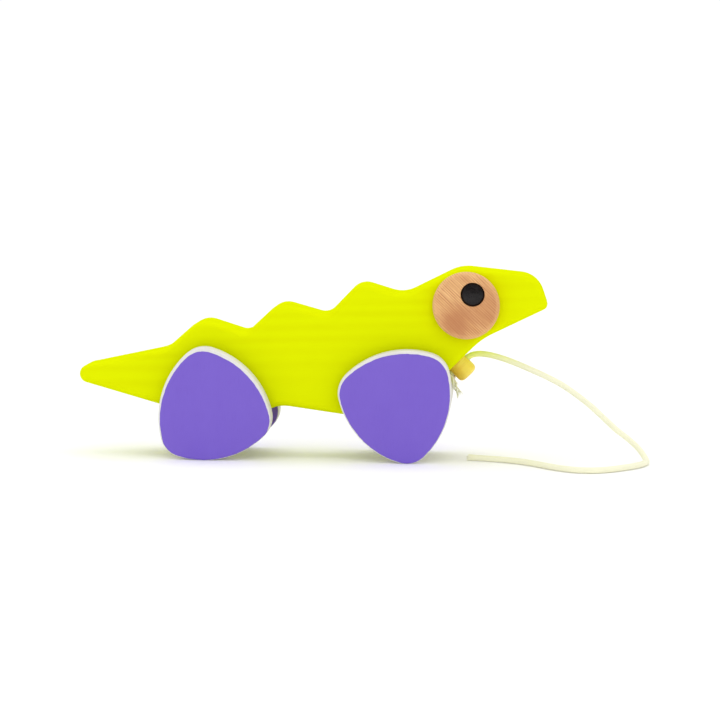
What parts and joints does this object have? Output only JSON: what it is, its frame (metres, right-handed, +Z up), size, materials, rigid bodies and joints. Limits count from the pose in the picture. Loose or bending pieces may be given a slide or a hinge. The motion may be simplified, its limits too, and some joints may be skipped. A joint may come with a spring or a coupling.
{
  "type": "pull along toy",
  "caption": "Pull-along wooden crocodile: a shaped plank body with disc eyes, rounded three-cornered wheels on turning axles, and a cord through a chest peg.",
  "frame": {"origin": "on the floor under the middle of the toy, cord left out", "axes": "+X towards the snout, +Y towards the toy's left side, +Z up"},
  "size_m": [0.3177, 0.0918, 0.1072],
  "materials": {
    "lime_painted_wood": "satin lime-yellow paint over fine straight grain",
    "purple_painted_wood": "matt purple faces with pale white-stained edges",
    "beech": "bare oiled beech",
    "black_painted_wood": "satin black paint",
    "cotton_cord": "soft undyed braided cotton"
  },
  "bodies": {
    "toy_body": {"body": "lime_painted_wood", "eye_disc_right": "beech", "eye_disc_left": "beech", "pupil_right": "black_painted_wood", "pupil_left": "black_painted_wood", "towing_peg": "beech", "cord_knot": "cotton_cord", "pull_cord": "cotton_cord"},
    "rear_wheelset": {"rear_axle": "beech", "rear_wheel_right": "purple_painted_wood", "rear_wheel_left": "purple_painted_wood"},
    "front_wheelset": {"front_axle": "beech", "front_wheel_right": "purple_painted_wood", "front_wheel_left": "purple_painted_wood"}
  },
  "joints": [
    {"name": "rear_axle_spin", "type": "hinge", "parent": "toy_body", "child": "rear_wheelset", "pos_m": [-0.0541, 0, 0.02916], "axis": [0, 1, 0], "continuous": true},
    {"name": "front_axle_spin", "type": "hinge", "parent": "toy_body", "child": "front_wheelset", "pos_m": [0.04875, 0, 0.03324], "axis": [0, 1, 0], "continuous": true}
  ]
}
